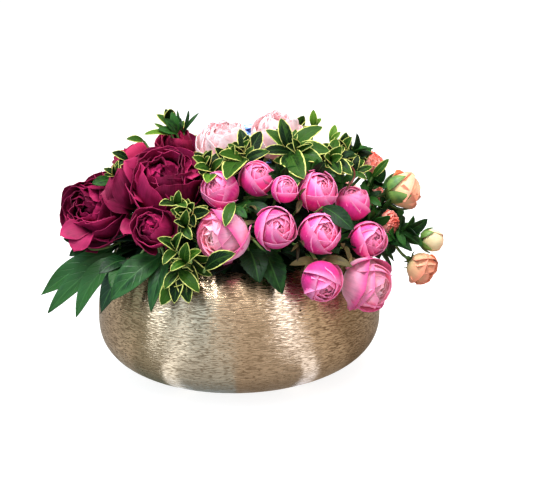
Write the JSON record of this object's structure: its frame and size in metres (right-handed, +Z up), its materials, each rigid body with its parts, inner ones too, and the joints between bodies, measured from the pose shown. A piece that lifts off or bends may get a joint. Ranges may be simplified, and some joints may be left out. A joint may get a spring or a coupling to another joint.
{
  "type": "floral table centerpiece",
  "caption": "Low table centrepiece: mixed roses, peonies and variegated foliage standing in floral foam in a wide hammered metal bowl.",
  "frame": {"origin": "middle of the bowl's flat foot, on the surface it stands on", "axes": "+Z up through the bowl's axis; -Y towards the front, where the pink roses are; +X towards the peach roses"},
  "size_m": [0.4186, 0.3354, 0.2805],
  "materials": {
    "bowl_metal": "hammered, champagne gold",
    "wet_foam": "matt, soaked",
    "pink_petals": "petal, soft satin",
    "burgundy_petals": "petal, velvety",
    "blush_petals": "petal, soft satin",
    "blue_florets": "petal, matt",
    "peach_petals": "petal, soft satin",
    "coral_petals": "petal, soft satin",
    "green_stems": "waxy leaf and stem",
    "variegated_leaves": "waxy leaf with a pale edge"
  },
  "bodies": {
    "root": {"pink_rose_1": "pink_petals", "pink_rose_2": "pink_petals", "pink_rose_3": "pink_petals", "pink_rose_4": "pink_petals", "pink_rose_5": "pink_petals", "pink_rose_6": "pink_petals", "pink_rose_7": "pink_petals", "pink_rose_8": "pink_petals", "pink_rose_9": "pink_petals", "pink_rose_10": "pink_petals", "pink_rose_11": "pink_petals", "peony_1": "burgundy_petals", "peony_2": "burgundy_petals", "peony_3": "burgundy_petals", "peony_4": "burgundy_petals", "peony_5": "burgundy_petals", "peony_6": "burgundy_petals", "blush_peony_1": "blush_petals", "blush_peony_2": "blush_petals", "blush_peony_3": "blush_petals", "hydrangea_1": "blue_florets", "peach_rose_1": "peach_petals", "peach_rose_2": "peach_petals", "peach_rose_3": "peach_petals", "coral_rose_1": "coral_petals", "coral_rose_2": "coral_petals", "coral_rose_3": "coral_petals", "coral_rose_4": "coral_petals", "coral_rose_5": "coral_petals", "peony_1_stem": "green_stems", "peony_2_stem": "green_stems", "peony_3_stem": "green_stems", "peony_4_stem": "green_stems", "peony_5_stem": "green_stems", "peony_6_stem": "green_stems", "blush_peony_1_stem": "green_stems", "blush_peony_2_stem": "green_stems", "blush_peony_3_stem": "green_stems", "hydrangea_stem": "green_stems", "pink_spray_1": "green_stems", "pink_spray_2": "green_stems", "pink_spray_3": "green_stems", "pink_spray_4": "green_stems", "peach_spray": "green_stems", "coral_spray_1": "green_stems", "coral_spray_2": "green_stems", "foliage_sprig_1": "variegated_leaves", "foliage_sprig_2": "variegated_leaves", "foliage_sprig_3": "variegated_leaves", "foliage_sprig_4": "variegated_leaves", "foliage_sprig_5": "variegated_leaves", "foliage_sprig_6": "variegated_leaves", "foliage_sprig_7": "variegated_leaves", "foliage_sprig_8": "variegated_leaves", "foliage_sprig_9": "variegated_leaves", "foliage_sprig_10": "variegated_leaves", "foliage_sprig_11": "variegated_leaves", "foliage_sprig_12": "variegated_leaves", "bowl": "bowl_metal", "floral_foam": "wet_foam"}
  },
  "joints": []
}
